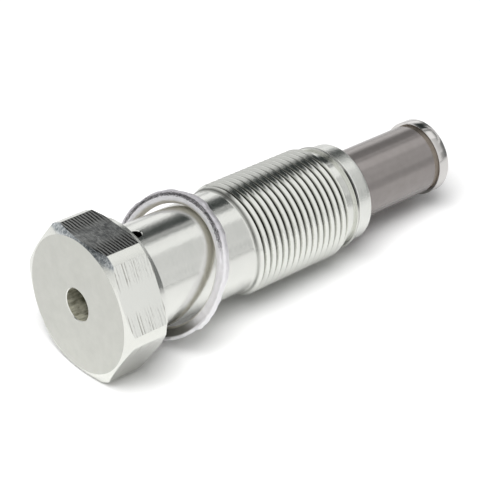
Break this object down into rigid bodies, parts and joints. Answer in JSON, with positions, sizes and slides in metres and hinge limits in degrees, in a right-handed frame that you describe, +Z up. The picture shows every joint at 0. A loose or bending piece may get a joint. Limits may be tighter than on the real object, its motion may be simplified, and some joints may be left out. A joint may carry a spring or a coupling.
{
  "type": "timing chain tensioner",
  "caption": "Screw-in hydraulic chain tensioner: hex-head threaded housing with a loose crush ring and a spring-loaded plunger behind a ball check valve.",
  "frame": {"origin": "middle of the space that the resting part takes up on the bench, at bench height", "axes": "+Z up, +X along the part from the hex head to the plunger's tip, as it lies at rest with its axis dipping about 3 degrees towards the tip, +Y across"},
  "size_m": [0.0888, 0.03, 0.0274],
  "materials": {
    "zinc_steel": "bright zinc plate, satin on the head's face",
    "ring_aluminium": "bright rolled sheet, rough at the fold",
    "plunger_steel": "dark hardened steel, flange ground bright",
    "spring_steel": "drawn spring wire",
    "filler_plastic": "natural nylon",
    "valve_steel": "turned steel",
    "ball_steel": "polished bearing ball",
    "cage_steel": "yellow passivated pressed sheet"
  },
  "bodies": {
    "housing": {"housing": "zinc_steel", "sealing_ring": "ring_aluminium", "valve_seat": "valve_steel", "valve_cage": "cage_steel", "ball_spring": "spring_steel", "plunger_spring": "spring_steel"},
    "plunger": {"plunger": "plunger_steel", "stop_ring": "spring_steel", "filler_pin": "filler_plastic"},
    "check_ball": {"check_ball": "ball_steel"}
  },
  "joints": [
    {"name": "plunger_slide", "type": "slide", "parent": "housing", "child": "plunger", "axis": [0.9987, 0, -0.0518], "range_m": [-0.018, 0], "stiffness_N_per_m": 1500, "springref_m": 0.03, "deforming": ["plunger_spring"]},
    {"name": "check_ball_lift", "type": "slide", "parent": "housing", "child": "check_ball", "axis": [0.9987, 0, -0.0518], "range_m": [0, 0.0004], "stiffness_N_per_m": 60, "springref_m": -0.003, "deforming": ["ball_spring"]}
  ]
}
